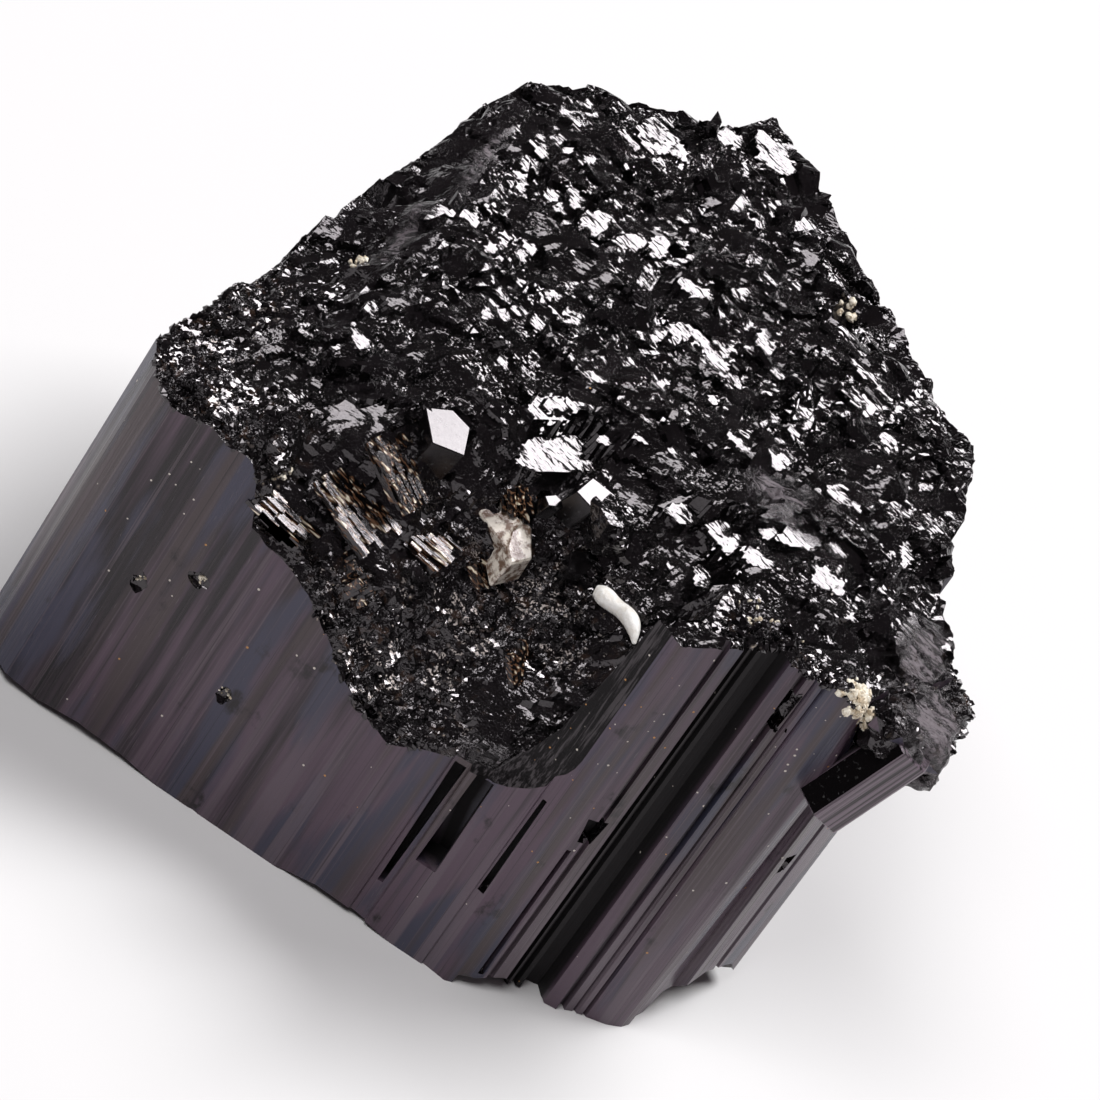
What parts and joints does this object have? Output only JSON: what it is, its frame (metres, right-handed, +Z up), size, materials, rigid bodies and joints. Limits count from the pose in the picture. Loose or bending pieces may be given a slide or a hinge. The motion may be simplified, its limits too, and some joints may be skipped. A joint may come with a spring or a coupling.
{
  "type": "black tourmaline crystal",
  "caption": "Stubby black tourmaline crystal: a ribbed, striated prism with a rough, bitten fracture on top, standing on its broken base.",
  "frame": {"origin": "middle of the crystal's box, on the surface that it stands on", "axes": "+Z up, along the long axis of the crystal; -Y out of the broad flat prism face; +X towards the ribbed side"},
  "size_m": [0.049, 0.0476, 0.0305],
  "materials": {
    "tourmaline": "black and glassy on the fracture, satin grey-violet along the striated prism faces, with cream grains at a few places"
  },
  "bodies": {
    "root": {"tourmaline_crystal": "tourmaline"}
  },
  "joints": []
}
